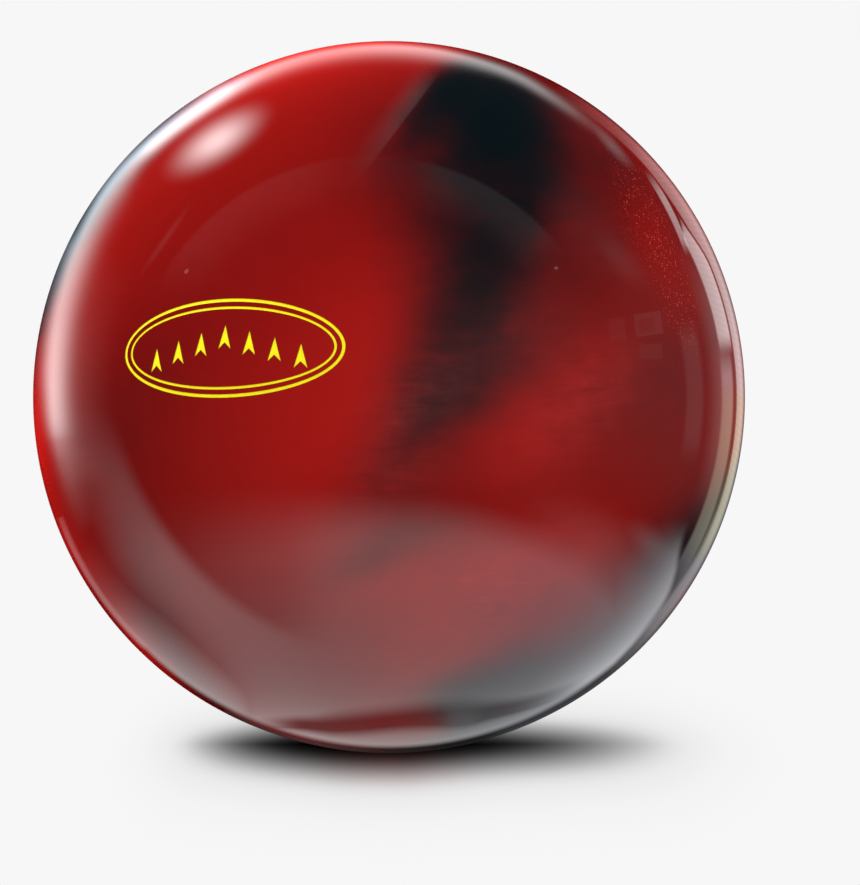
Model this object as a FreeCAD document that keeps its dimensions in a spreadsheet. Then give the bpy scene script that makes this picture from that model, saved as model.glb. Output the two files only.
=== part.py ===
import FreeCAD, Part
import os

import Sketcher
from FreeCAD import Vector

# Ten-pin bowling ball as it leaves the factory, before a pro shop drills the grip.
#
# Frame: origin at the centre of the ball, +Z up, -Y towards the side that carries
# the engraved badge.  Millimetres and degrees throughout.
#
#   weight_block        dense resin casting, turned about the pin axis
#   core_collar         heavier resin ring cast into the waist of the weight block
#   density_slug        heaviest pellet, keyed into the foot of the weight block
#   locator_pin         coloured resin dowel, ground flush with the ball
#   outer_core          light sphere cast round all of the above
#   cover_shell         urethane cover cast round the outer core
#   cg_marker           paint-filled punch mark over the centre of gravity
#   badge_outer_ring,   paint set into grooves that are engraved to one depth
#   badge_inner_ring,   below the spherical surface
#   badge_lane_arrows

doc = FreeCAD.newDocument("BowlingBall")

# ---------------------------------------------------------------- dimensions
# alias, value, what it is
DIMS = [
    ("ball_dia", 217.2, "outside diameter; the rule allows 215.9 to 218.3"),
    ("cover_thick", 20.0, "radial thickness of the cover"),
    # directions on the ball: azimuth about +Z from +X, elevation from the XY plane
    ("badge_az", -116.4, "azimuth of the badge centre"),
    ("badge_el", 14.6, "elevation of the badge centre"),
    ("badge_spin", 95.0, "turn of the badge about its own normal"),
    ("cg_az", -126.5, "azimuth of the centre-of-gravity mark"),
    ("cg_el", 25.9, "elevation of the centre-of-gravity mark"),
    ("pin_az", 167.0, "azimuth of the pin axis"),
    ("pin_el", 31.0, "elevation of the pin axis"),
    # badge
    ("outer_line", 0.95, "width of the engraved line of the outer oval"),
    ("inner_line", 0.75, "width of the engraved line of the inner oval"),
    ("oval_half_length", 35.4, "half length of the outer oval, to its outside edge"),
    ("oval_half_height", 14.2, "half height of the outer oval, to its outside edge"),
    ("oval_gap", 1.35, "bare cover between the two ovals"),
    ("engrave_depth", 0.80, "depth of the engraving below the ball"),
    ("paint_low", 0.12, "how far the paint sits below the ball"),
    ("prism_over", 5.0, "how far the badge prisms reach beyond the ball"),
    ("dart_pitch", 7.7, "spacing of the darts along the badge"),
    ("dart_rise", 1.9, "how much higher each dart stands than its outer neighbour"),
    ("dart_length", 7.0, "length of a dart"),
    ("dart_width", 4.0, "width of a dart"),
    ("dart_notch", 1.9, "depth of the notch in the back of a dart"),
    ("dart_base", -6.1, "height of the outermost darts' back corners"),
    # centre-of-gravity mark
    ("cg_dia", 1.7, "diameter of the punch mark"),
    ("cg_depth", 1.2, "depth of the punch mark"),
    ("punch_over", 2.0, "how far the punch reaches beyond the ball"),
    # pin
    ("pin_rad", 5.0, "radius of the locator pin"),
    ("pin_seat", 26.0, "depth of the pin's socket in the weight block"),
    ("pin_lead", 0.8, "lead-in chamfer on the pin's inner end"),
    ("pin_proud", 70.0, "length cast beyond the block, before the pin is ground flush"),
    # weight block, about its own axis, z from the block's datum
    ("foot_z", -57.0, "foot of the block"),
    ("foot_rad", 31.0, "radius of the foot"),
    ("bulb_low_z", -36.0, "lower edge of the bulb"),
    ("bulb_high_z", -2.0, "upper edge of the bulb"),
    ("bulb_rad", 50.5, "radius of the bulb"),
    ("waist_rad", 33.0, "radius of the waist that the collar sits on"),
    ("disc_low_z", 18.0, "underside of the upper disc"),
    ("disc_high_z", 43.0, "upper edge of the upper disc"),
    ("disc_rad", 42.5, "radius of the upper disc"),
    ("top_z", 58.0, "top of the block"),
    ("top_rad", 23.0, "radius of the top"),
    ("shoulder_round", 7.0, "edge radius on the bulb and disc"),
    ("end_round", 5.0, "edge radius on the two ends"),
    # collar
    ("collar_rad", 47.0, "outside radius of the collar"),
    ("collar_round", 6.0, "edge radius of the collar"),
    # slug
    ("slug_mouth_rad", 13.0, "radius of the slug at the foot"),
    ("slug_rad", 17.5, "radius of the slug inside the block"),
    ("slug_lip", 5.0, "length of the narrow neck"),
    ("slug_flare", 7.0, "length of the flare behind the neck"),
    ("slug_length", 26.0, "overall length of the slug"),
    # where the core stands in the ball
    ("balance_z", -3.66, "height of the core assembly's balance point above its datum"),
    ("core_shift", 7.0, "distance of that balance point from the ball's centre"),
]
DARTS_EACH_SIDE = 3  # beside the middle dart
MIN_CUT = 1000.0  # mm3 that the slug cavity and the pin socket must each remove
EDGE_TOLERANCE = 1e-3  # for finding an edge by its radius and height

sheet = doc.addObject("Spreadsheet::Sheet", "Dims")
for row, (alias, value, note) in enumerate(DIMS, start=1):
    sheet.set(f"A{row}", note)
    sheet.set(f"B{row}", str(value))
    sheet.setAlias(f"B{row}", alias)
doc.recompute()


def dim(alias):
    """The sheet's value, as a number."""
    return float(sheet.get(alias))


def value_of(text):
    """Evaluates terms such as 'Dims.a - 2 * Dims.b', with spaces round each operator."""
    total, term, operator = 0.0, 0.0, "+"
    for word in text.split():
        if word in ("+", "-", "*", "/"):
            operator = word
            continue
        number = dim(word[len("Dims."):]) if word.startswith("Dims.") else float(word)
        if operator == "*":
            term *= number
        elif operator == "/":
            term /= number
        else:
            total += term
            term = number if operator == "+" else -number
    return total + term


# ------------------------------------------------------------ object helpers
def bind(obj, **expressions):
    """Binds properties to expressions on the sheet."""
    for prop, text in expressions.items():
        obj.setExpression(prop, text)
    return obj


def sphere(name, radius):
    return bind(doc.addObject("Part::Sphere", name), Radius=radius)


def cylinder(name, **expressions):
    return bind(doc.addObject("Part::Cylinder", name), **expressions)


def boolean(kind, name, base, tool):
    result = doc.addObject(f"Part::{kind}", name)
    result.Base, result.Tool = base, tool
    return result


def cut(name, base, tool):
    return boolean("Cut", name, base, tool)


def common(name, base, tool):
    return boolean("Common", name, base, tool)


def fuse(name, parts):
    result = doc.addObject("Part::MultiFuse", name)
    result.Shapes = parts
    return result


# ------------------------------------------------------------ sketch helpers
START, END, CENTRE = 1, 2, 3  # points of a sketch element
ORIGIN = (-1, START)
VERTICAL_AXIS = -2


def new_sketch(body, name, role):
    """A sketch on the body's origin plane with that role."""
    sketch = body.newObject("Sketcher::SketchObject", name)
    plane = next(f for f in body.Origin.OriginFeatures if f.Role == role)
    sketch.AttachmentSupport = [(plane, "")]
    sketch.MapMode = "FlatFace"
    return sketch


def drive(sketch, name, text, *constraint):
    """Adds a named constraint whose value follows an expression on the sheet."""
    index = sketch.addConstraint(Sketcher.Constraint(*constraint, value_of(text)))
    sketch.renameConstraint(index, name)
    sketch.setExpression(f"Constraints.{name}", text)


def add_outline(sketch, points, prefix=""):
    """Adds a closed polygon with a driven constraint for every coordinate.

    points is a list of (across, up) expressions; a corner whose across is None
    lies on the sketch's vertical axis.
    """
    corners = [
        Vector(0.0 if across is None else value_of(across), value_of(up), 0)
        for across, up in points
    ]
    ends = corners[1:] + corners[:1]
    lines = [
        sketch.addGeometry(Part.LineSegment(start, end), False)
        for start, end in zip(corners, ends)
    ]
    for line, following in zip(lines, lines[1:] + lines[:1]):
        sketch.addConstraint(Sketcher.Constraint("Coincident", line, END, following, START))
    for i, (line, (across, up)) in enumerate(zip(lines, points)):
        if across is None:
            sketch.addConstraint(
                Sketcher.Constraint("PointOnObject", line, START, VERTICAL_AXIS)
            )
        else:
            drive(sketch, f"{prefix}x{i}", across, "DistanceX", *ORIGIN, line, START)
        drive(sketch, f"{prefix}y{i}", up, "DistanceY", *ORIGIN, line, START)


# -------------------------------------------------------------- body helpers
def new_body(name, label):
    body = doc.addObject("PartDesign::Body", name)
    body.Label = label
    return body


def turn(body, name, points, kind="Revolution"):
    """Turns a profile on the XZ plane about the body's Z axis; kind may be Groove."""
    profile = new_sketch(body, name + "Profile", "XZ_Plane")
    add_outline(profile, points)
    feature = body.newObject(f"PartDesign::{kind}", name)
    feature.Profile = profile
    feature.ReferenceAxis = (profile, ["V_Axis"])
    feature.Angle = 360.0
    doc.recompute()
    return feature


def fillet(body, name, base, rings, radius):
    """Rounds the circular edges given as (radius alias, z alias)."""
    targets = [(dim(ring_radius), dim(ring_z)) for ring_radius, ring_z in rings]

    def is_target(curve):
        return isinstance(curve, Part.Circle) and any(
            abs(curve.Radius - target_radius) < EDGE_TOLERANCE
            and abs(curve.Center.z - target_z) < EDGE_TOLERANCE
            for target_radius, target_z in targets
        )

    edges = [
        f"Edge{i}" for i, edge in enumerate(base.Shape.Edges, start=1) if is_target(edge.Curve)
    ]
    feature = body.newObject("PartDesign::Fillet", name)
    feature.Base = (base, edges)
    bind(feature, Radius=radius)
    doc.recompute()
    return feature


def check_cut(before, after):
    """Stops the build if a cut missed the material."""
    assert after.Shape.Volume < before.Shape.Volume - MIN_CUT, f"{after.Name} cut nothing"


# ---------------------------------------------------------------- placements
def aim(spot):
    """Rotation text that turns +Z towards a direction: badge, cg or pin."""
    return f"rotation(Dims.{spot}_az; 90 - Dims.{spot}_el; 0)"


def from_centre(spot):
    return f"placement(vector(0; 0; 0); {aim(spot)})"


def core_point(height):
    """Placement text for the point at that height on the core's own axis.

    The core's axis is parallel to the pin direction.  Its balance point is moved
    off the centre towards the centre-of-gravity mark, which puts the ball's own
    centre of gravity under that mark.
    """
    along = f"({height} - Dims.balance_z)"
    return (
        "placement(vector("
        "Dims.core_shift * cos(Dims.cg_el) * cos(Dims.cg_az)"
        f" + {along} * cos(Dims.pin_el) * cos(Dims.pin_az); "
        "Dims.core_shift * cos(Dims.cg_el) * sin(Dims.cg_az)"
        f" + {along} * cos(Dims.pin_el) * sin(Dims.pin_az); "
        f"Dims.core_shift * sin(Dims.cg_el) + {along} * sin(Dims.pin_el)); "
        f"{aim('pin')})"
    )


CORE_DATUM = core_point("0")
SOCKET_FLOOR = "Dims.top_z - Dims.pin_seat"

# Narrow at the mouth and wider behind it, so the slug is keyed into the block.
SLUG_POINTS = [
    (None, "Dims.foot_z"),
    ("Dims.slug_mouth_rad", "Dims.foot_z"),
    ("Dims.slug_mouth_rad", "Dims.foot_z + Dims.slug_lip"),
    ("Dims.slug_rad", "Dims.foot_z + Dims.slug_lip + Dims.slug_flare"),
    ("Dims.slug_rad", "Dims.foot_z + Dims.slug_length"),
    (None, "Dims.foot_z + Dims.slug_length"),
]


# ---------------------------------------------------------------------- core
def bore_pin_socket(body):
    """Blind socket for the pin, bored from the top of the block."""
    mouth = new_sketch(body, "PinSocketMouth", "XY_Plane")
    mouth.setExpression("AttachmentOffset.Base.z", "Dims.top_z")
    circle = mouth.addGeometry(Part.Circle(Vector(0, 0, 0), Vector(0, 0, 1), dim("pin_rad")))
    mouth.addConstraint(Sketcher.Constraint("Coincident", circle, CENTRE, *ORIGIN))
    drive(mouth, "bore", "Dims.pin_rad", "Radius", circle)
    doc.recompute()
    socket = body.newObject("PartDesign::Pocket", "PinSocket")
    socket.Profile = mouth
    bind(socket, Length="Dims.pin_seat")
    doc.recompute()
    return socket


def make_weight_block():
    body = new_body("WeightBlock", "weight_block")
    turned = turn(body, "BlockTurned", [
        (None, "Dims.foot_z"),
        ("Dims.foot_rad", "Dims.foot_z"),
        ("Dims.bulb_rad", "Dims.bulb_low_z"),
        ("Dims.bulb_rad", "Dims.bulb_high_z"),
        ("Dims.waist_rad", "Dims.bulb_high_z"),
        ("Dims.waist_rad", "Dims.disc_low_z"),
        ("Dims.disc_rad", "Dims.disc_low_z"),
        ("Dims.disc_rad", "Dims.disc_high_z"),
        ("Dims.top_rad", "Dims.top_z"),
        (None, "Dims.top_z"),
    ])
    shoulders = [("bulb_rad", "bulb_low_z"), ("disc_rad", "disc_high_z")]
    rounded = fillet(body, "BlockShoulders", turned, shoulders, "Dims.shoulder_round")
    ends = [("foot_rad", "foot_z"), ("top_rad", "top_z")]
    rounded = fillet(body, "BlockEnds", rounded, ends, "Dims.end_round")

    cavity = turn(body, "SlugCavity", SLUG_POINTS, kind="Groove")
    check_cut(rounded, cavity)
    socket = bore_pin_socket(body)
    check_cut(cavity, socket)
    body.Tip = socket
    return bind(body, Placement=CORE_DATUM)


def make_core_collar():
    body = new_body("CoreCollar", "core_collar")
    turned = turn(body, "CollarTurned", [
        ("Dims.waist_rad", "Dims.bulb_high_z"),
        ("Dims.collar_rad", "Dims.bulb_high_z"),
        ("Dims.collar_rad", "Dims.disc_low_z"),
        ("Dims.waist_rad", "Dims.disc_low_z"),
    ])
    fillet(body, "CollarEdge", turned, [("collar_rad", "disc_low_z")], "Dims.collar_round")
    return bind(body, Placement=CORE_DATUM)


def make_density_slug():
    body = new_body("DensitySlug", "density_slug")
    turn(body, "SlugTurned", SLUG_POINTS)
    return bind(body, Placement=CORE_DATUM)


def make_locator_pin(ball):
    """A dowel from the bottom of its socket, ground to the ball's surface."""
    body = new_body("PinDowel", "PinDowel")
    turn(body, "PinTurned", [
        (None, SOCKET_FLOOR),
        ("Dims.pin_rad - Dims.pin_lead", SOCKET_FLOOR),
        ("Dims.pin_rad", SOCKET_FLOOR + " + Dims.pin_lead"),
        ("Dims.pin_rad", "Dims.top_z + Dims.pin_proud"),
        (None, "Dims.top_z + Dims.pin_proud"),
    ])
    bind(body, Placement=CORE_DATUM)
    return common("LocatorPin", body, ball)


def make_outer_core(core_ball, buried):
    return cut("OuterCore", core_ball, fuse("CoreGroup", buried))


# --------------------------------------------------------------------- badge
# Every engraved line is a straight-sided prism along the badge's normal, limited
# by spheres, so the cut keeps one depth over the ball's curve.
BADGE_SPIN = "placement(vector(0; 0; 0); rotation(Dims.badge_spin; 0; 0))"


def badge_prism(name, outline):
    """Extrudes a flat outline from the ball's centre out through the badge."""
    bind(outline, Placement=BADGE_SPIN)
    prism = doc.addObject("Part::Extrusion", name)
    prism.Base = outline
    prism.DirMode = "Custom"
    prism.Dir = Vector(0, 0, 1)
    prism.Solid = True
    length = "Dims.ball_dia / 2 + Dims.prism_over"
    return bind(prism, LengthFwd=length, Placement=from_centre("badge"))


def oval_prism(name, inset):
    """An oval prism; inset is the text taken off both half sizes."""
    oval = doc.addObject("Part::Ellipse", name + "Oval")
    bind(
        oval,
        MajorRadius="Dims.oval_half_length" + inset,
        MinorRadius="Dims.oval_half_height" + inset,
    )
    return badge_prism(name, oval)


def oval_line(name, inset, width):
    """Prism of one oval line, from its outside edge inwards by its width."""
    outside = oval_prism(name + "Out", inset)
    inside = oval_prism(name + "In", inset + width)
    return cut(name + "Prism", outside, inside)


def make_dart_prism():
    """A row of darts like a lane's aiming arrows; the middle one stands highest."""
    sketch = doc.addObject("Sketcher::SketchObject", "DartSketch")
    for i in range(-DARTS_EACH_SIDE, DARTS_EACH_SIDE + 1):
        centre = f"{i} * Dims.dart_pitch"
        point_x = None if i == 0 else centre
        base = f"Dims.dart_base + {DARTS_EACH_SIDE - abs(i)} * Dims.dart_rise"
        points = [
            (point_x, base + " + Dims.dart_length"),
            (centre + " + Dims.dart_width / 2", base),
            (point_x, base + " + Dims.dart_notch"),
            (centre + " - Dims.dart_width / 2", base),
        ]
        add_outline(sketch, points, prefix=f"d{i + DARTS_EACH_SIDE}_")
    return badge_prism("DartPrism", sketch)


# ------------------------------------------------- centre-of-gravity mark
def make_punch_hole():
    """A short cylinder from the floor of the mark out past the ball."""
    punch = cylinder(
        "Punch",
        Radius="Dims.cg_dia / 2",
        Height="Dims.ball_dia / 2 + Dims.punch_over",
        Placement=from_centre("cg"),
    )
    # twice the punch's radius, so it takes away all of the punch below the floor
    below_floor = cylinder(
        "PunchCore",
        Radius="Dims.cg_dia",
        Height="Dims.ball_dia / 2 - Dims.cg_depth",
        Placement=from_centre("cg"),
    )
    return cut("PunchHole", punch, below_floor)


# --------------------------------------------------------------------- cover
def make_cover_shell(ball, core_ball, engrave_floor, prisms, punch_hole, pin_way):
    hollow = cut("HollowCover", ball, core_ball)
    engraving = cut("Engraving", fuse("EngravingPrisms", prisms), engrave_floor)
    tools = fuse("CoverTools", [engraving, punch_hole, pin_way])
    return cut("CoverShell", hollow, tools)


# ------------------------------------------------------------------ assembly
ball = sphere("Ball", "Dims.ball_dia / 2")
core_ball = sphere("CoreBall", "Dims.ball_dia / 2 - Dims.cover_thick")
paint_top = sphere("PaintTop", "Dims.ball_dia / 2 - Dims.paint_low")
engrave_floor = sphere("EngraveFloor", "Dims.ball_dia / 2 - Dims.engrave_depth")

weight_block = make_weight_block()
core_collar = make_core_collar()
density_slug = make_density_slug()
locator_pin = make_locator_pin(ball)

# the pin's path through the outer core and the cover
pin_way = cylinder(
    "PinWay",
    Radius="Dims.pin_rad",
    Height="Dims.pin_seat + Dims.pin_proud",
    Placement=core_point(f"({SOCKET_FLOOR})"),
)
doc.recompute()
outer_core = make_outer_core(core_ball, [weight_block, core_collar, density_slug, pin_way])

outer_prism = oval_line("OuterRule", "", " - Dims.outer_line")
inner_prism = oval_line(
    "InnerRule", " - Dims.outer_line - Dims.oval_gap", " - Dims.inner_line"
)
dart_prism = make_dart_prism()

# the paint fills the grooves from the engraved floor to just under the ball
paint_skin = cut("PaintSkin", paint_top, engrave_floor)
outer_ring = common("OuterRulePaint", outer_prism, paint_skin)
inner_ring = common("InnerRulePaint", inner_prism, paint_skin)
lane_arrows = common("LaneDarts", dart_prism, paint_skin)

punch_hole = make_punch_hole()
cg_marker = common("CgMarker", punch_hole, paint_top)
cover_shell = make_cover_shell(
    ball,
    core_ball,
    engrave_floor,
    [outer_prism, inner_prism, dart_prism],
    punch_hole,
    pin_way,
)

PIECES = {
    "cover_shell": cover_shell,
    "outer_core": outer_core,
    "weight_block": weight_block,
    "core_collar": core_collar,
    "density_slug": density_slug,
    "locator_pin": locator_pin,
    "cg_marker": cg_marker,
    "badge_outer_ring": outer_ring,
    "badge_inner_ring": inner_ring,
    "badge_lane_arrows": lane_arrows,
}
for label, piece in PIECES.items():
    piece.Label = label
doc.recompute()

# --------------------------------------------------------- checks and export
for obj in doc.Objects:
    bad = [state for state in obj.State if state in ("Invalid", "Error")]
    if bad:
        raise RuntimeError(f"{obj.Name} is {bad}")
    if obj.isDerivedFrom("Sketcher::SketchObject") and obj.solve() != 0:
        raise RuntimeError(f"{obj.Name} doesn't solve")

for label, piece in PIECES.items():
    shape = piece.Shape
    if shape.isNull() or not shape.isValid() or not shape.Solids:
        raise RuntimeError(f"{label} has no valid solid")
    if any(solid.Volume <= 0 for solid in shape.Solids):
        raise RuntimeError(f"{label} is inside out")

os.makedirs("parts", exist_ok=True)
for label, piece in PIECES.items():
    solids = piece.Shape.Solids
    result = solids[0] if len(solids) == 1 else Part.makeCompound(solids)
    result.exportStep(os.path.join("parts", label + ".step"))
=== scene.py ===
# A polished bowling ball of swirled red and black resin, with an engraved badge, a punch
# mark and a locator pin. The ball's centre is the origin, +Z is up, and the badge and the
# camera are on the -Y side. Metres.
import math

import bmesh
import bpy
from mathutils import Matrix, Vector


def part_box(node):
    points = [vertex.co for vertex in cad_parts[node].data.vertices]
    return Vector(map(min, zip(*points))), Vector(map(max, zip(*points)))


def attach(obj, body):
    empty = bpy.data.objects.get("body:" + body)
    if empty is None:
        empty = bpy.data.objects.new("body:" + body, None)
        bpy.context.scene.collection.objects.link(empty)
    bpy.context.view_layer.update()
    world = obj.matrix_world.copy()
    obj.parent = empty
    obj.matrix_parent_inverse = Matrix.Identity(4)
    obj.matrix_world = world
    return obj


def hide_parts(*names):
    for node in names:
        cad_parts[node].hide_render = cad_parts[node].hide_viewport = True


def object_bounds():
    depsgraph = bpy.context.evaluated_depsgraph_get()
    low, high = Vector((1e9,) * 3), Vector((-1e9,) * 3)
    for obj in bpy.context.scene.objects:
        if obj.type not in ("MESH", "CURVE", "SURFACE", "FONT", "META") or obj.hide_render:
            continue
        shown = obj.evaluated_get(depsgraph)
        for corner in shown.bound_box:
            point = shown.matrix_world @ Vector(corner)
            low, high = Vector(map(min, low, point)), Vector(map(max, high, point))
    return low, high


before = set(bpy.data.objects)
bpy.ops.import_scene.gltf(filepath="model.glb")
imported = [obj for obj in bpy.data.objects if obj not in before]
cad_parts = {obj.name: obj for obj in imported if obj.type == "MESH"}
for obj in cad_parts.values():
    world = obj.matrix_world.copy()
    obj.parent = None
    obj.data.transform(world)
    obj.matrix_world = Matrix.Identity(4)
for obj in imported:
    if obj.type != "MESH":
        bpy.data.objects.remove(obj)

cad_low, cad_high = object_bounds()

# ------------------------------------------------------------------ the ball
MM = 0.001
low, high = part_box("cover_shell")
R = (high.z - low.z) / 2
low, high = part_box("outer_core")
R_INSIDE = max(high - low) / 2
FLOOR_Z = cad_low.z


def direction_to(node):
    """Direction from the ball's centre to the mean of a CAD node's vertices."""
    total = Vector((0, 0, 0))
    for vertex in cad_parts[node].data.vertices:
        total += vertex.co
    return total.normalized()


BADGE = direction_to("badge_outer_ring")
MARK = direction_to("cg_marker")
PIN = direction_to("locator_pin")

# The pieces let into the cover: CAD node, direction, and the depth below the ball's
# surface above which a vertex is drawn out to make a cutter.
INLAYS = [
    ("badge_outer_ring", BADGE, 0.4 * MM),
    ("badge_inner_ring", BADGE, 0.4 * MM),
    ("badge_lane_arrows", BADGE, 0.4 * MM),
    ("cg_marker", MARK, 0.6 * MM),
    ("locator_pin", PIN, 1.0 * MM),
]
CUTTER_LIFT = 3.0 * MM


# ------------------------------------------------------------- shader nodes
def feed(socket, value):
    """Links a wire to an input, or sets the input's value; None leaves it alone."""
    if value is None:
        return
    if isinstance(value, Wire):
        socket.id_data.links.new(value.socket, socket)
    elif isinstance(value, (tuple, Vector)):
        value = list(value)
        if len(socket.default_value) == 4 and len(value) == 3:
            value.append(1.0)
        socket.default_value = value
    else:
        socket.default_value = value


def set_inputs(node, inputs):
    for key, value in inputs.items():
        feed(node.inputs[key], value)


def add_node(tree, kind, inputs=None, **settings):
    """Adds a node, laid out in rows of 24."""
    place = len(tree.nodes)
    node = tree.nodes.new(kind)
    node.location = (place % 24 * 190, -(place // 24) * 320)
    for name, value in settings.items():
        setattr(node, name, value)
    set_inputs(node, inputs or {})
    return node


def tree_of(values):
    return next(value.tree for value in values if isinstance(value, Wire))


def number_node(operation, *values, clamp=False):
    inputs = dict(enumerate(values))
    node = add_node(
        tree_of(values), "ShaderNodeMath", inputs, operation=operation, use_clamp=clamp
    )
    return Wire(node.outputs[0])


def vector_node(operation, *values):
    inputs = dict(enumerate(values))
    node = add_node(tree_of(values), "ShaderNodeVectorMath", inputs, operation=operation)
    return Wire(node.outputs["Value" if operation in ("DOT_PRODUCT", "LENGTH") else "Vector"])


class Wire:
    """A node's output. Arithmetic on it adds nodes, so a pattern reads like a formula."""

    def __init__(self, socket):
        self.socket = socket
        self.tree = socket.id_data

    def combine(self, operation, *values):
        make = number_node if self.socket.type == "VALUE" else vector_node
        return make(operation, *values)

    def __add__(self, other):
        return self.combine("ADD", self, other)

    def __radd__(self, other):
        return self.combine("ADD", other, self)

    def __sub__(self, other):
        return self.combine("SUBTRACT", self, other)

    def __rsub__(self, other):
        return self.combine("SUBTRACT", other, self)

    def __mul__(self, other):
        return self.combine("MULTIPLY", self, other)

    def __truediv__(self, other):
        return self.combine("DIVIDE", self, other)

    def __rtruediv__(self, other):
        return self.combine("DIVIDE", other, self)

    def __pow__(self, other):
        return number_node("POWER", self, other)

    def __abs__(self):
        return number_node("ABSOLUTE", self)

    def at_least(self, other):
        return number_node("MAXIMUM", self, other)

    def at_most(self, other):
        return number_node("MINIMUM", self, other)

    def times_add(self, factor, extra):
        return number_node("MULTIPLY_ADD", self, factor, extra)

    def rest(self):
        """What is left of 1, kept within 0 and 1."""
        return number_node("SUBTRACT", 1.0, self, clamp=True)

    def fade(self, rate=1.0):
        """Exponential decay."""
        return number_node("EXPONENT", self * -rate)

    def ramp(self, start, end, low=0.0, high=1.0, shape="SMOOTHSTEP"):
        """Goes from low to high as this goes from start to end, flat beyond."""
        inputs = dict(enumerate((self, start, end, low, high)))
        node = add_node(self.tree, "ShaderNodeMapRange", inputs, interpolation_type=shape)
        return Wire(node.outputs[0])

    def band(self, rise, full, full_end, end):
        """Rises over rise..full and falls over full_end..end."""
        return self.ramp(rise, full) * self.ramp(end, full_end)

    def curve(self, points):
        """A smooth curve through (value, result) points, flat beyond the ends."""
        first, last = points[0][0], points[-1][0]
        top = max(abs(result) for _, result in points)
        node = add_node(self.tree, "ShaderNodeFloatCurve")
        feed(node.inputs["Value"], self.ramp(first, last, shape="LINEAR"))
        knots = node.mapping.curves[0].points
        while len(knots) < len(points):
            knots.new(0.5, 0.5)
        for knot, (value, result) in zip(knots, points):
            knot.location = ((value - first) / (last - first), result / top)
        node.mapping.update()
        return Wire(node.outputs[0]) * top

    def only_where(self, mask):
        """This number where mask is 1, and 1 where mask is 0."""
        return mask.times_add(self - 1.0, 1.0)

    def mix(self, first, second):
        """Mixes two colours, with this number as the second one's share."""
        inputs = {"Factor": self, 6: first, 7: second}
        return Wire(add_node(self.tree, "ShaderNodeMix", inputs, data_type="RGBA").outputs[2])

    def tint(self, colour):
        """A colour times this number."""
        inputs = {0: colour, "Scale": self}
        return Wire(
            add_node(self.tree, "ShaderNodeVectorMath", inputs, operation="SCALE").outputs[0]
        )

    def scaled(self, factor):
        """This vector times a number."""
        inputs = {0: self, "Scale": factor}
        return Wire(
            add_node(self.tree, "ShaderNodeVectorMath", inputs, operation="SCALE").outputs[0]
        )

    def dot(self, other):
        return vector_node("DOT_PRODUCT", self, other)

    def length(self):
        return vector_node("LENGTH", self)

    def normalized(self):
        return vector_node("NORMALIZE", self)

    def split(self):
        node = add_node(self.tree, "ShaderNodeSeparateXYZ", {0: self})
        return [Wire(socket) for socket in node.outputs]

    def in_frame(self, centre, turn, size):
        """This position in a moved, turned and scaled frame."""
        inputs = {"Vector": self, "Location": centre, "Rotation": turn, "Scale": size}
        node = add_node(self.tree, "ShaderNodeMapping", inputs, vector_type="TEXTURE")
        return Wire(node.outputs[0])

    def noise(self, scale, detail=2.0, rough=0.5, distort=0.0, output="Fac"):
        inputs = {
            "Vector": self,
            "Scale": scale,
            "Detail": detail,
            "Roughness": rough,
            "Distortion": distort,
        }
        return Wire(add_node(self.tree, "ShaderNodeTexNoise", inputs).outputs[output])

    def warp(self, scale, amount, detail=2.0, shift=(0, 0, 0)):
        """This position moved by noise."""
        push = (self + shift).noise(scale, detail, output="Color") - (0.5, 0.5, 0.5)
        return self + push.scaled(amount)

    def cells(self, scale):
        """Voronoi cells: the distance to the middle, and a random colour for each."""
        node = add_node(self.tree, "ShaderNodeTexVoronoi", {"Vector": self, "Scale": scale})
        return Wire(node.outputs["Distance"]), Wire(node.outputs["Color"])


def join(x, y):
    return Wire(add_node(x.tree, "ShaderNodeCombineXYZ", {0: x, 1: y}).outputs[0])


def empty_tree(owner, output_kind):
    """Clears a material's or world's nodes and gives it a fresh output."""
    owner.use_nodes = True
    tree = owner.node_tree
    tree.nodes.clear()
    return tree, add_node(tree, output_kind)


def principled(name):
    """A new material, its shader, and the position in ball radii."""
    mat = bpy.data.materials.new(name)
    tree, output = empty_tree(mat, "ShaderNodeOutputMaterial")
    shader = add_node(tree, "ShaderNodeBsdfPrincipled")
    feed(output.inputs["Surface"], Wire(shader.outputs[0]))
    position = Wire(add_node(tree, "ShaderNodeTexCoord").outputs["Object"])
    return mat, shader, position.scaled(1.0 / R)


def bump(height, strength, distance):
    inputs = {"Strength": strength, "Distance": distance, "Height": height}
    return Wire(add_node(height.tree, "ShaderNodeBump", inputs).outputs[0])


def plain_shader(tree, kind, colour=None):
    inputs = {} if colour is None else {"Color": colour}
    return Wire(add_node(tree, kind, inputs).outputs[0])


def split_by_ray(tree, output, soft, glossy, camera):
    """Shows one shader to mirror rays, one to camera rays and one to all others."""
    path = add_node(tree, "ShaderNodeLightPath")
    shader = soft
    for ray_kind, other in (("Is Glossy Ray", glossy), ("Is Camera Ray", camera)):
        inputs = {0: Wire(path.outputs[ray_kind]), 1: shader, 2: other}
        shader = Wire(add_node(tree, "ShaderNodeMixShader", inputs).outputs[0])
    feed(output.inputs["Surface"], shader)


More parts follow.
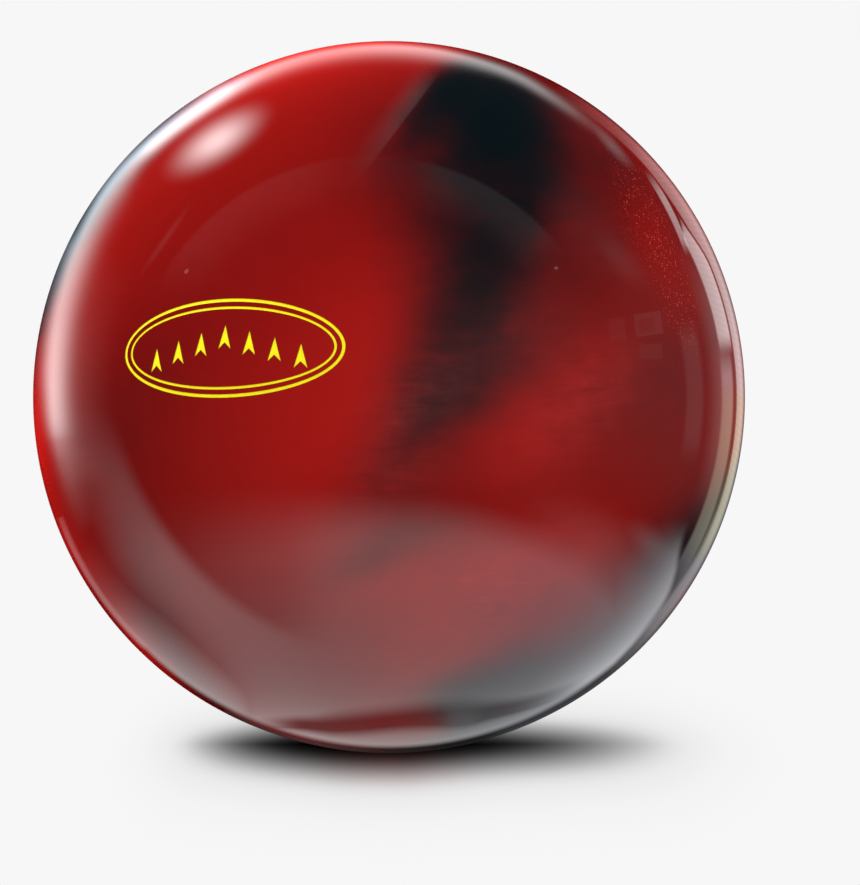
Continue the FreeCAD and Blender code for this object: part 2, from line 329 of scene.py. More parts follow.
# -------------------------------------------------------- swirl of the cover
# Marks, each a soft oval on the ball:
# (azimuth, elevation, tilt, half length, half width, weight), degrees on the ball.
# Black resin in the red pour, with painted shade in some of the marks on the half with the badge;
# a negative weight is a lighter mark, painted light.
STROKES = [
    # the half with the badge
    (-58, 57, -129, 15.7, 6.5, 6.00), (-68, 64, -131, 12.5, 3.4, 4.05),
    (-68, 34, -124, 30.7, 6.5, 2.73), (-70, 12, -151, 8.3, 6.9, 0.80),
    (-79, 6, -115, 9.0, 7.8, 1.06), (-82, 6, -142, 10.1, 3.0, 0.79),
    (-52, 42, -75, 31.0, 7.6, 0.40), (-60, 22, -122, 11.3, 8.2, 0.66),
    (-36, 43, -136, 12.1, 6.2, 0.77), (-92, -16, -153, 8.0, 3.0, 0.53),
    (-85, -9, -232, 17.7, 11.2, 0.73), (-10, -17, -165, 19.6, 6.5, 6.00),
    (-66, -45, -151, 11.2, 7.4, 3.11), (-67, -55, -150, 3.3, 9.8, 2.66),
    (-40, -60, -103, 29.7, 11.5, 6.00), (-141, -1, -127, 18.7, 8.7, 0.33),
    (-154, -63, -115, 40.0, 6.6, 1.23), (-32, 12, -163, 44.8, 8.2, 0.28),
    (-78, 5, -248, 11.1, 22.5, -0.97), (-70, -19, 6, 23.8, 7.6, -0.54),
    (-79, 35, -78, 21.7, 9.0, 1.04), (-104, 34, -135, 45.0, 13.3, 0.30),
    (-77, -70, 92, 38.7, 11.7, -1.20), (-23, 37, -82, 20.9, 6.8, 0.56),
    # the sides and the back
    (-175, 33, 90, 19.5, 9.5, 7.00), (4, -33, 90, 17.0, 9.0, 2.60),
    (22, 34, 118, 22.0, 7.0, 2.20), (40, -16, 150, 18.0, 8.0, 2.40),
    (70, 14, 60, 20.0, 6.0, 1.80), (62, 62, 10, 16.0, 6.5, 1.80),
    (104, -30, 25, 22.0, 9.0, 2.60), (118, 34, 128, 17.0, 5.0, 1.50),
    (148, -2, 75, 19.0, 6.0, 2.00), (176, -38, 10, 18.0, 7.0, 2.20),
]
# where the red is milky and brushed
CLOUD = [
    (-84, 8, 41, 8.9, 4.5, 1.00), (-57, 7, 35, 12.5, 7.5, 0.55),
    (-90, -4, 15, 6.4, 4.5, 0.55), (-70, 17, 9, 8.2, 6.0, 0.35),
    (-71, -23, 23, 10.8, 8.0, 0.45), (60, -28, 20, 18.0, 8.0, 0.80),
    (138, -44, 0, 18.0, 9.0, 0.80),
]
# where pearl flakes show
PEARL = [
    (-32, 36, -112, 17.0, 7.5, 1.10), (-33, 18, -100, 9.0, 5.5, 0.80),
    (-23, 4, -96, 8.0, 4.0, 0.85), (44, 8, 100, 24.0, 12.0, 1.00),
    (90, 48, 40, 20.0, 10.0, 0.90), (132, 8, 110, 18.0, 9.0, 0.90),
    (165, 50, 20, 18.0, 9.0, 0.80), (-158, -22, 60, 14.0, 8.0, 0.80),
]
MARK_DEPTH = 0.55  # a mark's half size along the ball's radius, in ball radii
RED = (0.375, 0.0062, 0.0045)
BLACK = (0.0005, 0.0040, 0.0056)
MILK = (0.008, 0.0155, 0.016)
PEARL_DUST = (0.48, 0.036, 0.026)
# the flakes' colour: lighter pearl with a painted glint
PEARL_FLAKE_GLINT = (0.70, 0.075, 0.050)


def oval_marks(point, marks):
    """Sum of soft ovals on the unit sphere."""
    total = None
    for azimuth, elevation, tilt, along, across, weight in marks:
        around, rise, turn = (math.radians(a) for a in (azimuth, elevation, tilt))
        centre = Vector(
            (math.cos(rise) * math.cos(around), math.cos(rise) * math.sin(around), math.sin(rise))
        )
        east = Vector((-math.sin(around), math.cos(around), 0))
        north = centre.cross(east)
        long_axis = math.cos(turn) * east + math.sin(turn) * north
        short_axis = -math.sin(turn) * east + math.cos(turn) * north
        rotation = Matrix((long_axis, short_axis, centre)).transposed().to_euler("XYZ")
        size = (math.radians(along), math.radians(across), MARK_DEPTH)
        offset = point.in_frame(centre, tuple(rotation), size)
        mark = offset.dot(offset).fade()
        total = mark * weight if total is None else mark.times_add(weight, total)
    return total


def painted_shade_and_rim_light(tree):
    """Painted shade and light in the colour: brightest square on, darker as the surface turns
    away, lighter again at the edge, with a painted rim highlight.
    """
    geometry = add_node(tree, "ShaderNodeNewGeometry")
    normal = Wire(geometry.outputs["Normal"])
    facing = abs(normal.dot(Wire(geometry.outputs["Incoming"])))
    sheen = (facing ** 3.85).times_add(0.65, 0.35)
    turned = 1.0 - facing
    sheen = sheen + turned * turned
    normal_x, _, normal_z = normal.split()
    # the painted rim highlight, where the key light from the upper left falls, fades to the right
    # and just below the middle
    rim = turned ** 8.5 * 6.9 * normal_x.ramp(0.25, -0.25, low=0.06)
    return sheen + rim * abs(normal_z + 0.27).ramp(0.0, 0.26, low=0.45)


def cover_material():
    mat, shader, point = principled("cover_swirl")
    warped = point.warp(scale=2.4, amount=0.05)
    warped = warped.warp(scale=8.0, amount=0.020, detail=3.0, shift=(3.1, 1.7, 0.4))

    # depth of black resin and painted shade over the red, broken up by veins
    depth = oval_marks(warped, STROKES)
    veins = (warped * (1.0, 1.0, 2.0)).noise(9.0, detail=5.0, rough=0.6)
    depth = depth * veins.ramp(0.2, 0.8, low=0.82, high=1.18)
    clear = depth.at_least(-0.35).fade()
    black_share = clear.rest()

    cloud = oval_marks(warped, CLOUD).at_most(1.0)
    pearl = oval_marks(warped, PEARL).at_most(1.0)
    # soft fibres lying level, and puffs, strongest in the clouds
    fibre = (warped * (5.0, 5.0, 30.0)).noise(1.5, detail=5.0, rough=0.62, distort=0.4)
    puffs = warped.noise(11.0, detail=5.0, rough=0.6)
    texture = ((fibre - 0.5) + (puffs - 0.5)) * cloud.times_add(1.15, 0.06)
    red = (1.0 + texture).tint(RED)
    milk = cloud * (0.75 + texture * 1.6)

    # painted shade toward the edges and a painted rim highlight, multiplied into the red
    sheen = painted_shade_and_rim_light(mat.node_tree)
    colour = (clear * sheen).tint(red) + black_share.tint(BLACK)
    colour = colour + (milk * clear.times_add(0.45, 0.55)).tint(MILK)

    # flakes of pearl, small plates of which some catch the light: lighter specks with a painted
    # glint in their colour, over finer dust
    distance, chance = point.cells(150.0)
    plate = distance.ramp(0.46, 0.18) * chance.split()[0].ramp(0.70, 1.0)
    flake_glint = plate * (pearl.ramp(0.35, 0.95) * clear.ramp(0.15, 0.6))
    _, chance = point.cells(330.0)
    dust_cells = chance.split()[0].ramp(0.86, 1.0)
    dust = dust_cells * (pearl.ramp(0.1, 0.8) * clear.ramp(0.15, 0.6))
    colour = (dust * 0.32).mix(colour, PEARL_DUST)
    colour = (flake_glint * 0.90).mix(colour, PEARL_FLAKE_GLINT)

    polish = point.noise(3.0, detail=4.0, rough=0.6)
    roughness = polish.ramp(0.3, 0.7, low=0.020, high=0.040)
    set_inputs(shader, {"Base Color": colour, "Roughness": roughness, "IOR": 1.6})
    return mat


# ---------------------------------------------------------- the other pieces
def paint_material(name, colour, worn):
    """Enamel wiped into the engraving: slightly uneven, with a soft sheen."""
    mat, shader, point = principled(name)
    mottle = point.noise(60.0, detail=4.0, rough=0.6)
    grain = point.noise(220.0, detail=3.0, rough=0.6)
    set_inputs(shader, {
        "Base Color": mottle.ramp(0.35, 0.75).mix(colour, worn),
        "Roughness": mottle.ramp(0.3, 0.7, low=0.30, high=0.42),
        "IOR": 1.25,
        "Normal": bump(grain, strength=0.25, distance=0.00006),
    })
    return mat


def pin_material():
    """Resin dowel: pearly yellow with a faint swirl, polished with the cover."""
    mat, shader, point = principled("pin_resin")
    swirl = point.warp(scale=26.0, amount=0.02).noise(34.0, detail=4.0, rough=0.6, distort=0.6)
    colour = swirl.ramp(0.35, 0.7).mix((0.80, 0.62, 0.035), (0.93, 0.80, 0.16))
    _, chance = point.cells(260.0)
    specks = chance.split()[0].ramp(0.9, 1.0) * 0.35
    set_inputs(shader, {
        "Base Color": specks.mix(colour, (1.0, 0.97, 0.75)),
        "Roughness": swirl.ramp(0.3, 0.7, low=0.05, high=0.09),
        "IOR": 1.55,
    })
    return mat


def casting_material(name, base, second, speck, speck_share, rough, grain):
    """Filled casting resin: flow marks, filler specks and fine bubbles."""
    mat, shader, point = principled(name)
    warped = point.warp(scale=5.0, amount=0.12)
    flow = warped.noise(6.0, detail=4.0, rough=0.55, distort=0.5)
    colour = flow.ramp(0.35, 0.68).mix(base, second)
    distance, chance = point.cells(grain)
    dots = chance.split()[0].ramp(1.0 - speck_share, 1.0) * distance.ramp(0.5, 0.2)
    pits, _ = point.cells(grain * 1.7)
    lumps = point.noise(grain * 0.6, detail=4.0, rough=0.6)
    height = pits.ramp(0.10, 0.30) * 0.6 + lumps * 0.4
    set_inputs(shader, {
        "Base Color": (dots * 0.8).mix(colour, speck),
        "Roughness": flow.ramp(0.3, 0.7, low=rough, high=rough + 0.12),
        "Normal": bump(height, strength=0.45, distance=0.0003),
    })
    return mat


def dress(node, mat):
    """Gives a CAD node a new material, leaving its mesh as it is."""
    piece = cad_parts[node]
    if not piece.material_slots:
        piece.data.materials.append(mat)
    for slot in piece.material_slots:
        slot.material = mat


# CAD node, material, colour, worn colour
PAINTS = [
    ("badge_outer_ring", "badge_ring_paint", (0.95, 0.87, 0.003), (0.90, 0.79, 0.005)),
    ("badge_inner_ring", "badge_inner_paint", (0.95, 0.87, 0.003), (0.90, 0.79, 0.005)),
    ("badge_lane_arrows", "badge_arrow_paint", (0.95, 0.88, 0.003), (0.90, 0.80, 0.006)),
    # the punch mark's pinkish grey is a dull red with a painted glint in it
    ("cg_marker", "mark_paint", (0.275, 0.040, 0.038), (0.235, 0.030, 0.029)),
]
# CAD node, material, base, second and speck colours, share of specks, roughness, grain
CASTINGS = [
    ("outer_core", "microballoon_resin",
     (0.68, 0.65, 0.57), (0.76, 0.73, 0.66), (0.30, 0.27, 0.22), 0.06, 0.55, 60.0),
    ("weight_block", "block_resin",
     (0.030, 0.055, 0.21), (0.045, 0.085, 0.30), (0.35, 0.42, 0.62), 0.10, 0.34, 80.0),
    ("core_collar", "collar_resin",
     (0.62, 0.15, 0.012), (0.74, 0.22, 0.025), (0.95, 0.70, 0.42), 0.08, 0.34, 80.0),
    ("density_slug", "slug_resin",
     (0.060, 0.062, 0.068), (0.095, 0.096, 0.10), (0.45, 0.46, 0.48), 0.14, 0.30, 95.0),
]
for node, *look in PAINTS:
    dress(node, paint_material(*look))
dress("locator_pin", pin_material())
for node, *look in CASTINGS:
    dress(node, casting_material(*look))


# ------------------------------------------------------------ the cover mesh
# The cover is rebuilt finer than the CAD one: a true polished sphere, hollow inside,
# with the engraving, the punch mark and the pin's hole cut into it.
def mesh_object(name, bm):
    mesh = bpy.data.meshes.new(name)
    bm.to_mesh(mesh)
    bm.free()
    made = bpy.data.objects.new(name, mesh)
    bpy.context.scene.collection.objects.link(made)
    return made


def append_bmesh(target, source):
    """Adds one bmesh to another and frees it."""
    carrier = bpy.data.meshes.new("carrier")
    source.to_mesh(carrier)
    source.free()
    target.from_mesh(carrier)
    bpy.data.meshes.remove(carrier)


def hollow_ball():
    ball = bmesh.new()
    bmesh.ops.create_icosphere(ball, subdivisions=7, radius=R)
    inside = bmesh.new()
    bmesh.ops.create_icosphere(inside, subdivisions=6, radius=R_INSIDE)
    bmesh.ops.reverse_faces(inside, faces=inside.faces)
    append_bmesh(ball, inside)
    return mesh_object("cover_polished", ball)


def inlay_cutter(node, axis, depth):
    """A CAD piece's outline as a closed cutter, drawn out past the ball along axis."""
    bm = bmesh.new()
    bm.from_mesh(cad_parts[node].data)
    bmesh.ops.remove_doubles(bm, verts=bm.verts, dist=2e-6)
    for vertex in bm.verts:
        if vertex.co.length > R - depth:
            vertex.co += axis * CUTTER_LIFT
    bmesh.ops.recalc_face_normals(bm, faces=bm.faces)
    return bm


def cut_inlays(body):
    tools = bmesh.new()
    for inlay in INLAYS:
        append_bmesh(tools, inlay_cutter(*inlay))
    knife = mesh_object("knife", tools)
    cut = body.modifiers.new("cut", "BOOLEAN")
    cut.operation = "DIFFERENCE"
    cut.solver = "EXACT"
    cut.object = knife
    depsgraph = bpy.context.evaluated_depsgraph_get()
    mesh = bpy.data.meshes.new_from_object(body.evaluated_get(depsgraph))
    body.modifiers.clear()
    whole = body.data
    body.data = mesh
    bpy.data.meshes.remove(whole)
    knife_mesh = knife.data
    bpy.data.objects.remove(knife)
    bpy.data.meshes.remove(knife_mesh)


def clean(mesh):
    bm = bmesh.new()
    bm.from_mesh(mesh)
    bmesh.ops.remove_doubles(bm, verts=bm.verts, dist=1e-6)
    bmesh.ops.dissolve_degenerate(bm, dist=1e-6, edges=bm.edges)
    bmesh.ops.triangulate(bm, faces=[face for face in bm.faces if len(face.verts) > 3])
    bm.to_mesh(mesh)
    bm.free()


def set_true_normals(mesh):
    """Radial on the ball, the engraved floors and the inside; flat on the walls."""
    mesh.polygons.foreach_set("use_smooth", [True] * len(mesh.polygons))
    normals = []
    for face in mesh.polygons:
        flat_normal = face.normal.copy()
        facing = flat_normal.dot(face.center.normalized())
        for i in face.loop_indices:
            corner = mesh.vertices[mesh.loops[i].vertex_index].co
            if facing > 0.97:
                normals.append(corner.normalized())
            elif facing < -0.97:
                normals.append(-corner.normalized())
            else:
                normals.append(flat_normal)
    mesh.normals_split_custom_set([tuple(normal) for normal in normals])


cover = hollow_ball()
cut_inlays(cover)
clean(cover.data)
cover.data.name = "cover_polished"
set_true_normals(cover.data)
cover.data.materials.clear()
cover.data.materials.append(cover_material())
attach(cover, "root")
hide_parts("cover_shell")

# ---------------------------------------------------------------- the camera
# A long lens a little above the ball's centre, looking down.
LOOK_DOWN = math.radians(8.0)
CAMERA_DISTANCE = 12.119976 * R
back = Vector((0, -math.cos(LOOK_DOWN), math.sin(LOOK_DOWN)))
right = Vector((1, 0, 0))
up = Vector((0, math.sin(LOOK_DOWN), math.cos(LOOK_DOWN)))


def add_camera():
    lens = bpy.data.cameras.new("camera")
    lens.lens = 180.0
    lens.sensor_width = 36.0
    lens.sensor_fit = "HORIZONTAL"
    lens.shift_x = 0.04767442
    lens.shift_y = -0.05290698
    lens.clip_start = 0.05
    lens.clip_end = 100.0
    camera = bpy.data.objects.new("camera", lens)
    turn = Matrix((right, up, back)).transposed().to_4x4()
    camera.matrix_world = Matrix.Translation(back * CAMERA_DISTANCE) @ turn
    bpy.context.scene.collection.objects.link(camera)
    bpy.context.scene.camera = camera


add_camera()

# ----------------------------------------------------------------- the floor
PALE = 0.9301  # level of the floor and the backdrop
WHITE = (1.0, 1.0, 1.0)
# (distance as a share of the half-dark distance, level)
SHADOW = [
    (0.0, 0.0), (0.25, 0.004), (0.4, 0.022), (0.55, 0.078), (0.7, 0.18), (0.85, 0.325),
    (1.0, 0.50), (1.15, 0.68), (1.3, 0.81), (1.5, 0.895), (1.75, 0.932), (2.0, 0.958),
    (2.3, 0.975), (2.6, 0.987), (3.0, 0.995), (3.5, 1.0),
]


def shadow_level(x, y):
    """The ball's soft shadow: a flat oval under it, longer to the right."""
    # half-dark distances: left 59.2 mm, right 74.5 mm, front 49.0 mm, back 39.9 mm
    aside = x - 0.0012
    aside = abs(aside * aside.ramp(-0.02, 0.02, 1 / 0.0592, 1 / 0.0745))
    over = (aside - 1.0).at_least(0.0)
    aside = aside ** x.ramp(-0.012, 0.016, 2.162, 1.409)
    aside = (over * over).times_add(2.864, aside)
    ahead = abs(y * y.ramp(-0.010, 0.010, 1 / 0.0490, 1 / 0.0399))
    # the oval is squarer at its ends
    power = abs(x).ramp(0.020, 0.075, 1.07, 1.60)
    away = (aside ** power + ahead ** power) ** (1.0 / power)
    return away.curve(SHADOW)


def floor_material():
    mat = bpy.data.materials.new("pale_floor")
    tree, output = empty_tree(mat, "ShaderNodeOutputMaterial")
    position = Wire(add_node(tree, "ShaderNodeNewGeometry").outputs["Position"])
    x, y, _ = position.split()
    reach = join(x, y).length()
    level = shadow_level(x, y)
    # the red of the ball falls faintly on the floor in front
    blush_x = x * (1 / 0.022)
    blush_y = (y + 0.041) * (1 / 0.020)
    blush = (blush_x * blush_x + blush_y * blush_y).fade()
    seen = (level * PALE).tint(WHITE) + blush.tint((0.055, 0.0, 0.0))
    # the ball's own colour sees a dimmer floor, darkest under the ball
    dim = (reach.ramp(0.02, 0.16) * 0.55).tint(WHITE)
    split_by_ray(
        tree,
        output,
        soft=plain_shader(tree, "ShaderNodeEmission", dim),
        # the polish looks through the floor at the studio
        glossy=plain_shader(tree, "ShaderNodeBsdfTransparent"),
        camera=plain_shader(tree, "ShaderNodeEmission", seen),
    )
    return mat


def add_floor():
    bm = bmesh.new()
    bmesh.ops.create_grid(bm, x_segments=8, y_segments=8, size=60.0)
    floor = mesh_object("studio_floor", bm)
    floor.location = (0, 0, FLOOR_Z)
    floor.data.materials.append(floor_material())


add_floor()

# ----------------------------------------------------------------- the light
world = bpy.data.worlds.new("studio")
bpy.context.scene.world = world
world_tree, world_output = empty_tree(world, "ShaderNodeOutputWorld")
world.cycles.sampling_method = "NONE"
ray = Wire(add_node(world_tree, "ShaderNodeTexCoord").outputs["Generated"]).normalized()

# soft light for the ball's own colour: even all round, and a key behind the upper left
KEY = Vector((-0.50, 0.53, 0.683)).normalized()
KEY_LEVEL = 2.2
fill = ray.dot(KEY).ramp(0.45, 1.0) * KEY_LEVEL + ray.split()[2].times_add(0.40, 1.02)


def degrees_of(y, x):
    return number_node("ARCTAN2", y, x) * (180.0 / math.pi)


# The studio as the polish mirrors it, laid out as a mirror ball seen by the camera.
# even_x and even_y are where a direction shows on the ball, in ball radii.
half = (ray + back).normalized()
even_x = half.dot(right)
even_y = half.dot(up)
evened = join(even_x, even_y)
even_radius = evened.length()
# and the same as the lens sees it, from a finite distance
flat = evened.scaled(half.dot(back).times_add(0.0375, 1.0))
x, y, _ = flat.split()
radius = flat.length()
bearing = flat.normalized()
angle = degrees_of(even_y, even_x)
# the bearing again, in degrees counted either way from 130 so that it runs on past 180
TURN = math.radians(130.0)
ahead = bearing.dot((math.cos(TURN), math.sin(TURN), 0.0))
aside = bearing.dot((-math.sin(TURN), math.cos(TURN), 0.0))
strip_angle = degrees_of(aside, ahead) + 130.0

# Strip light, by its own angle: radius, inner and outer half widths, strength.
STRIP_RADIUS = [
    (52, 0.950), (60, 0.955), (68, 0.968), (76, 0.974), (84, 0.979), (100, 0.981),
    (108, 0.979), (116, 0.973), (124, 0.967), (132, 0.970), (140, 0.977), (148, 0.974),
    (156, 0.963), (164, 0.953), (172, 0.945), (180, 0.940), (190, 0.937),
]
STRIP_INNER = [
    (52, 0.012), (68, 0.013), (76, 0.017), (84, 0.022), (108, 0.020), (116, 0.017),
    (132, 0.016), (140, 0.025), (148, 0.034), (172, 0.033), (180, 0.032), (190, 0.045),
]
STRIP_OUTER = [
    (52, 0.012), (68, 0.010), (84, 0.008), (108, 0.009), (116, 0.012), (124, 0.015),
    (132, 0.014), (148, 0.013), (156, 0.019), (172, 0.021), (180, 0.019), (190, 0.015),
]
STRIP_LEVEL = [
    (46, 0.0), (52, 0.12), (60, 0.60), (68, 1.0), (84, 1.15), (100, 0.98), (108, 1.2),
    (116, 2.7), (124, 4.2), (132, 3.8), (140, 2.0), (148, 1.85), (156, 1.9), (164, 2.05),
    (172, 2.5), (180, 2.66), (188, 0.85), (196, 0.12), (204, 0.0),
]
SPILL_LEVEL = [
    (152, 0.0), (164, 0.16), (176, 0.30), (188, 0.34), (197, 0.12), (204, 0.0),
]
# Soft ovals: (x, y, tilt, half length, half width, level[, softness])
LAMPS = [
    (0.630, 0.700, -47, 0.100, 0.022, 0.35),  # end of the strip, over the upper right
    (0.469, 0.362, 0, 0.0065, 0.0050, 1.1, 0.4),  # small lamp
]
ROOM_GLOWS = [
    (0.38, 0.02, -12, 0.80, 0.56, 0.13), (0.78, 0.05, 0, 0.21, 0.62, 0.075),
    (0.57, 0.46, -48, 0.30, 0.13, 0.080), (-0.35, -0.22, 0, 0.62, 0.50, 0.045),
    (-0.626, 0.444, 55, 0.150, 0.013, 0.19),
]
# Window panes: (x, y, tilt, half width, half height, level)
PANES = [
    (0.728, 0.205, 8, 0.040, 0.034, 0.14), (0.722, 0.201, 8, 0.024, 0.020, -0.06),
    (0.640, 0.190, 6, 0.024, 0.034, 0.07), (0.735, 0.128, 4, 0.034, 0.022, 0.08),
]


def sector(middle, full, fade):
    """1 within full degrees of the bearing middle, fading to 0 over fade degrees."""
    turn = math.radians(middle)
    closeness = bearing.dot((math.cos(turn), math.sin(turn), 0.0))
    return closeness.ramp(math.cos(math.radians(full + fade)), math.cos(math.radians(full)))


def tilted(x, y, tilt, wide, high):
    return flat.in_frame((x, y, 0.0), (0.0, 0.0, math.radians(tilt)), (wide, high, 1.0))


def spot(x, y, tilt, along, across, level, softness=1.0):
    """A soft oval."""
    return tilted(x, y, tilt, along, across).length().ramp(1.0, 1.0 - softness) * level


def pane(x, y, tilt, wide, high, level):
    """A rectangle with a soft edge."""
    pane_x, pane_y, _ = tilted(x, y, tilt, wide, high).split()
    return abs(pane_x).ramp(1.0, 0.9) * abs(pane_y).ramp(1.0, 0.9) * level


def strip_lights():
    """A long strip hugging the rim from the left side over the top, and its spill."""
    off = radius - strip_angle.curve(STRIP_RADIUS)
    widths = {
        0: number_node("GREATER_THAN", off, 0.0),
        2: strip_angle.curve(STRIP_INNER),
        3: strip_angle.curve(STRIP_OUTER),
    }
    width = Wire(add_node(world_tree, "ShaderNodeMix", widths, data_type="FLOAT").outputs[0])
    off = off / width
    # 0.6931 is ln 2: half strength at the half width
    strip = (off * off).fade(0.6931) * strip_angle.curve(STRIP_LEVEL)
    spill = radius.band(0.76, 0.91, 0.915, 0.955) * strip_angle.curve(SPILL_LEVEL)
    return [strip, spill]


def round_softbox():
    box = spot(-0.480, 0.717, tilt=33, along=0.225, across=0.088, level=1.0)
    return box * box * 6.6


def slatted_window():
    """On the right: three strips with thin bars between. The last factor is the level."""
    bar_radius = angle.ramp(22, 31, 0.9745, 0.9615) + angle.ramp(33, 43, 0.0, 0.006)
    bar = abs(radius - bar_radius).ramp(0.0035, 0.0015, high=0.85)
    outer_fade = [
        (12, 1.0), (24, 0.82), (30, 0.70), (36, 0.52), (42, 0.38), (48, 0.17), (56, 0.06),
        (62, 0.0),
    ]
    outer = radius.band(0.962, 0.968, 0.989, 1.002)
    outer = outer * radius.ramp(bar_radius - 0.002, bar_radius + 0.001)
    outer = outer * angle.ramp(-34, -6) * angle.curve(outer_fade) * 1.05
    main_radius = angle.ramp(27, 32, 0.939, 0.959)
    main = radius.ramp(main_radius - 0.004, main_radius + 0.002)
    main = main * radius.ramp(bar_radius + 0.001, bar_radius - 0.002)
    main = main * angle.ramp(7, 11) * angle.ramp(33, 28) * 1.55
    slat_radius = angle.times_add(0.00195, 0.8808)
    slat = abs(radius - slat_radius).ramp(0.010, 0.006)
    slat = slat * angle.ramp(25, 29) * angle.ramp(42, 35) * 1.2
    low_right = radius.band(0.962, 0.978, 0.984, 1.004) * angle.curve(
        [(-52, 0.0), (-44, 0.25), (-36, 0.55), (-26, 0.60), (-18, 0.35), (-8, 0.0)]
    )
    low_bar = radius.band(0.930, 0.940, 0.962, 0.970)
    low_bar = low_bar * angle.ramp(-34, -24) * angle.ramp(9, 3) * 0.58
    blinds = number_node("SINE", angle * 5.2 + radius * 260.0).times_add(0.04, 0.97)
    haze = radius.band(0.885, 0.935, 0.940, 0.990)
    haze = haze * angle.ramp(-26, -4) * angle.ramp(30, 12) * 0.26
    inner_haze = radius.band(0.828, 0.842, 0.872, 0.890)
    inner_haze = inner_haze * angle.ramp(-14, -6) * angle.ramp(15, 10) * 0.16
    strips = (outer + (main + slat)) * (1.0 - bar) * blinds
    return (strips + low_bar) + (haze + (inner_haze + low_right))


def ceiling_arch():
    """A faint arch, brighter in two places."""
    arch = (flat - (-0.05, 0.0, 0.0)).length().band(0.52, 0.66, 0.668, 0.682)
    arch = arch * sector(95, full=45, fade=18)
    return [
        arch * sector(132, full=16, fade=16) * 0.09,
        arch * sector(62, full=10, fade=14) * 0.15,
        arch * 0.035,
    ]


def wall_wedge():
    """A wedge where two walls meet."""
    corner_x, corner_y = 0.040, 0.775
    across = (x - corner_x) * 0.80 + (y - corner_y) * -0.60
    along = (x - corner_x) * 0.60 + (y - corner_y) * 0.80
    wedge = across.ramp(-0.075, -0.004) * across.ramp(0.004, -0.002)
    return wedge * along.ramp(-0.24, -0.02) * along.ramp(0.18, 0.06) * 0.26


def lay_over(base, patch):
    """Adds a patch where the base leaves room for it."""
    return patch.times_add(base.rest(), base)


def floor_veil():
    """The mirrored pale floor: a veil over the ball's lower half."""
    lean = even_x - 0.03
    to_right = lean.at_least(0.0)
    to_left = lean.at_most(0.0)
    sag = to_right * to_right * 0.53 + to_left * to_left * 0.14
    top = (-0.250 - sag).at_least(even_x.times_add(0.95, -1.022))
    depth = even_x.ramp(0.50, 0.74, -0.145, -0.225) + to_left * 0.10
    veil = (even_y - top).ramp(to_left * -0.12, depth)
    # it thins to the left, less so lower down
    left = even_x.curve([
        (-0.60, 0.14), (-0.52, 0.25), (-0.44, 0.37), (-0.363, 0.47), (-0.286, 0.585),
        (-0.21, 0.80), (-0.134, 0.97), (-0.08, 1.0),
    ])
    left_low = even_x.ramp(-0.60, -0.16, low=0.14)
    veil = veil * even_y.ramp(-0.58, -0.74).times_add(left_low - left, left)
    soft_top = spot(0.610, -0.480, tilt=-35, along=0.330, across=0.180, level=0.46)
    soft_top = soft_top + spot(0.735, -0.410, tilt=-52, along=0.110, across=0.060, level=0.32)
    veil = lay_over(veil, soft_top)
    # a brighter crescent at the left, with a dim patch inside it
    rise = (evened - (0.10, 0.15, 0.0)).length()
    low_left = angle.curve([
        (-178, 0.0), (-172, 0.10), (-166, 0.28), (-160, 0.42), (-154, 0.58), (-147, 0.86),
        (-140, 1.0), (-100, 1.0), (-76, 0.0),
    ])
    fall = angle.curve([
        (-162, 1.03), (-152, 1.08), (-142, 1.105), (-130, 1.12), (-118, 1.17),
    ])
    crescent = rise.band(0.857, 0.908, 0.912, fall) * low_left * 0.96
    veil = veil * rise.ramp(0.925, 0.905).only_where(sector(208, full=14, fade=26))
    veil = lay_over(veil, crescent)
    # its right edge, and its end near the rim
    veil = veil * angle.ramp(-21.5, -29.5).only_where(even_x.ramp(0.3, 0.5))
    rim_end = angle.curve([
        (-50, 0.979), (-42, 0.968), (-35, 0.957), (-32, 0.944), (-30, 0.933), (-28, 0.922),
        (-25, 0.912),
    ]) + angle.ramp(-100, -125, high=0.006)
    return veil * (radius - rim_end).ramp(0.010, -0.009)


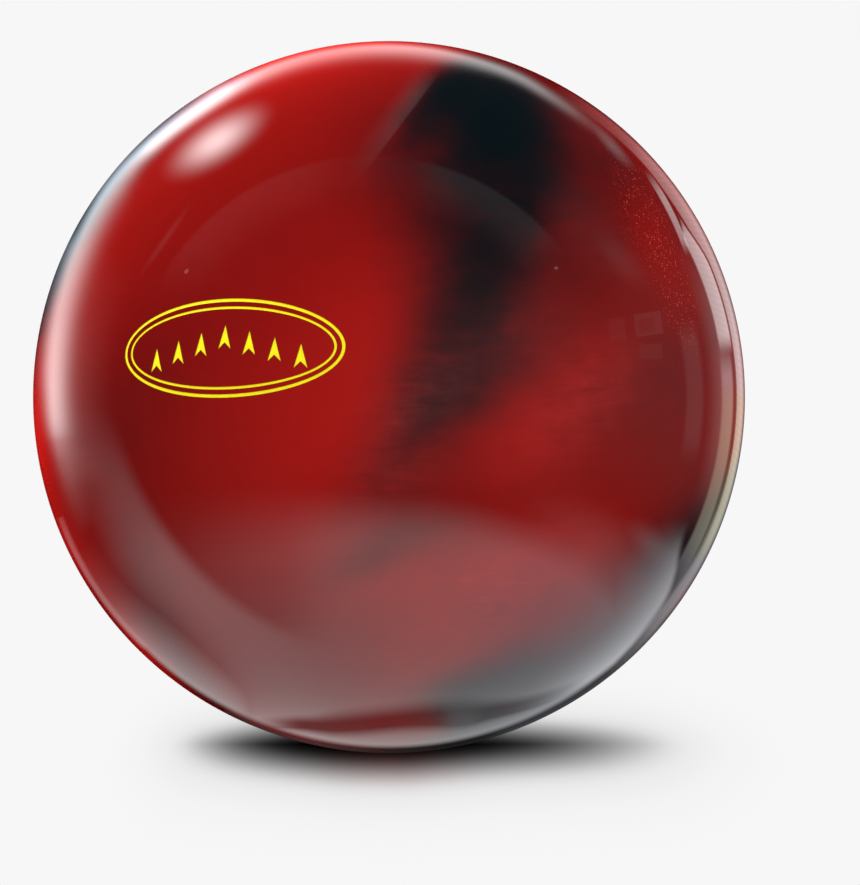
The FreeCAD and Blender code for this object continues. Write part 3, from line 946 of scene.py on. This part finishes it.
def floor_glow():
    """The veil, parted by a dark line where the ball meets its shadow, and rim light."""
    line = x.curve([
        (-0.45, 0.909), (-0.26, 0.918), (-0.18, 0.921), (-0.10, 0.917), (0.03, 0.904),
        (0.16, 0.894), (0.29, 0.880), (0.42, 0.850), (0.55, 0.795),
    ]) * -1.0
    thickness = x.curve([
        (-0.42, 0.35), (-0.23, 0.75), (-0.10, 1.2), (0.03, 1.25), (0.16, 1.35),
        (0.29, 0.95), (0.42, 0.6), (0.55, 0.4),
    ])
    from_line = (y - line) / thickness
    near_line = x.ramp(-0.40, -0.24) * x.curve([
        (-0.10, 0.90), (0.05, 0.90), (0.13, 0.84), (0.21, 0.62), (0.29, 0.72),
        (0.42, 0.50), (0.56, 0.0),
    ])
    veil = floor_veil() * from_line.ramp(0.002, 0.047).only_where(near_line)
    under = from_line.ramp(-0.006, -0.040) * radius.ramp(0.990, 0.973)
    under = under * sector(268, full=34, fade=18) * 0.80
    # its soft start along the lower left rim
    low_rim = radius.band(0.80, 0.955, 0.974, 0.991) * angle.curve([
        (-154, 0.0), (-146, 0.12), (-140, 0.36), (-134, 0.66), (-128, 0.82), (-121, 0.85),
        (-113, 0.60), (-105, 0.12), (-98, 0.0),
    ])
    under = under.at_least(low_rim)
    rim_right = even_radius.band(0.860, 0.950, 0.955, 0.975)
    rim_right = rim_right * sector(-45, full=8, fade=12) * 0.30
    low_edge = radius.band(0.965, 0.980, 0.996, 1.012) * angle.curve([
        (-118, 0.0), (-104, 0.035), (-84, 0.02), (-77, 0.02), (-68, 0.075), (-50, 0.085),
        (-40, 0.0),
    ])
    left_edge = radius.band(0.970, 0.981, 0.985, 0.994) * angle.curve(
        [(-160, 0.0), (-154, 0.20), (-142, 0.24), (-134, 0.0)]
    )
    return (veil * 1.15).at_least(under) + (rim_right + (low_edge + left_edge))


def studio_colour():
    """All the lights and a faint room, white but for three slight tints."""
    glow, *others = [
        *strip_lights(),
        round_softbox(),
        *(spot(*lamp) for lamp in LAMPS),
        slatted_window(),
        *(pane(*row) for row in PANES),
        spot(0.650, 0.385, tilt=-48, along=0.130, across=0.050, level=0.15),
        *ceiling_arch(),
        *(spot(*row) for row in ROOM_GLOWS),
        wall_wedge(),
        floor_glow(),
    ]
    for other in others:
        glow = glow + other
    room = even_radius.ramp(0.999, 0.90) * 0.022
    colour = (glow + room).tint(WHITE)

    cool = strip_angle.curve([(112, 0.0), (126, 1.0), (156, 1.0), (168, 0.0)])
    cool = cool * radius.ramp(0.968, 0.986)
    grey = x.ramp(0.10, 0.35) * y.ramp(-0.30, -0.50) * angle.ramp(-20, -28)
    warm = angle.curve([(-28, 0.0), (-22, 1.0), (-5, 1.0), (2, 0.0)])
    warm = warm * radius.band(0.92, 0.94, 0.99, 1.0)
    for share, shift in (
        (cool, (-0.16, -0.03, 0.10)),
        (grey, (-0.065, -0.045, 0.010)),
        (warm, (0.05, 0.0, -0.22)),
    ):
        colour = colour * (WHITE + share.tint(shift))
    return colour


split_by_ray(
    world_tree,
    world_output,
    soft=plain_shader(world_tree, "ShaderNodeBackground", fill.tint(WHITE)),
    glossy=plain_shader(world_tree, "ShaderNodeBackground", studio_colour()),
    camera=plain_shader(world_tree, "ShaderNodeBackground", (PALE, PALE, PALE)),
)

bpy.context.scene.view_settings.view_transform = "Standard"
bpy.context.scene.view_settings.look = "None"
